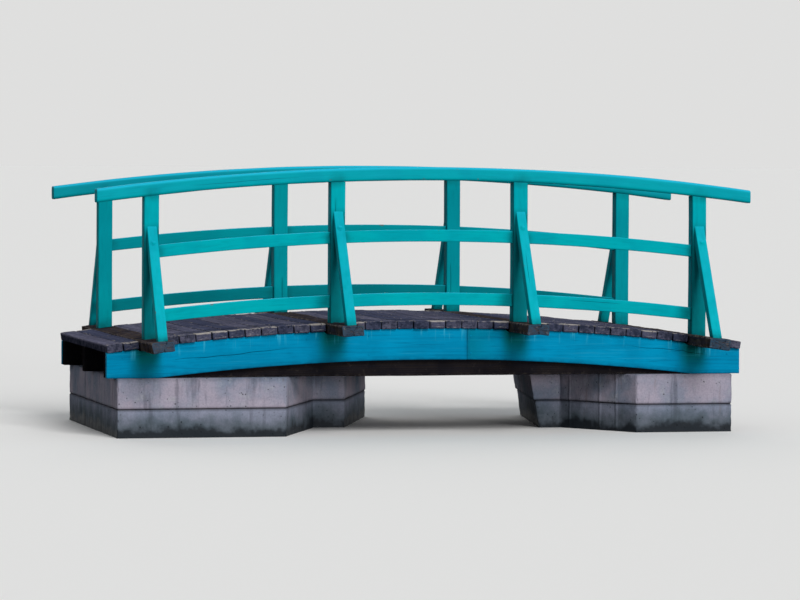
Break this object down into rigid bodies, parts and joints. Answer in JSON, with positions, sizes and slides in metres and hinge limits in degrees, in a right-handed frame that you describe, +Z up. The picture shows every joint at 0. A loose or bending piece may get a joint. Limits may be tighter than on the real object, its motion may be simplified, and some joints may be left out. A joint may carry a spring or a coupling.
{
  "type": "arched timber garden footbridge",
  "caption": "Low-arched garden footbridge: painted timber railings with outward braces, a plank deck on cambered bearers, and two concrete abutments.",
  "frame": {"origin": "on the water line, under the middle of the bridge: the bottom centre of its box", "axes": "+X along the bridge to the right as seen from the front, +Y from the front railing to the rear one, +Z up"},
  "size_m": [4.12, 2.62, 1.639],
  "materials": {
    "railing_paint": "exterior oil paint in turquoise on planed softwood, weathered",
    "fascia_paint": "exterior oil paint in a bluer turquoise, worn, with the grain showing",
    "deck_boards": "bare boards weathered grey-brown",
    "old_timber": "bare rough-sawn timber, damp and dark",
    "abutment_concrete": "old board-marked concrete, stained and dark at the water line"
  },
  "bodies": {
    "root": {"abutment_left_lower": "abutment_concrete", "abutment_left_upper": "abutment_concrete", "abutment_right_lower": "abutment_concrete", "abutment_right_upper": "abutment_concrete", "bearer_1": "old_timber", "bearer_2": "old_timber", "bearer_3": "old_timber", "fascia_front_left": "fascia_paint", "fascia_front_right": "fascia_paint", "fascia_rear_left": "fascia_paint", "fascia_rear_right": "fascia_paint", "crossbeam_1": "old_timber", "crossbeam_2": "old_timber", "crossbeam_3": "old_timber", "crossbeam_4": "old_timber", "deck_boards_left_end": "deck_boards", "deck_boards_bay_1": "deck_boards", "deck_boards_bay_2": "deck_boards", "deck_boards_bay_3": "deck_boards", "deck_boards_right_end": "deck_boards", "post_front_1": "railing_paint", "post_front_2": "railing_paint", "post_front_3": "railing_paint", "post_front_4": "railing_paint", "post_rear_1": "railing_paint", "post_rear_2": "railing_paint", "post_rear_3": "railing_paint", "post_rear_4": "railing_paint", "brace_front_1": "railing_paint", "brace_front_2": "railing_paint", "brace_front_3": "railing_paint", "brace_front_4": "railing_paint", "brace_rear_1": "railing_paint", "brace_rear_2": "railing_paint", "brace_rear_3": "railing_paint", "brace_rear_4": "railing_paint", "bottom_rail_front": "railing_paint", "bottom_rail_rear": "railing_paint", "mid_rail_front": "railing_paint", "mid_rail_rear": "railing_paint", "handrail_front": "railing_paint", "handrail_rear": "railing_paint"}
  },
  "joints": []
}
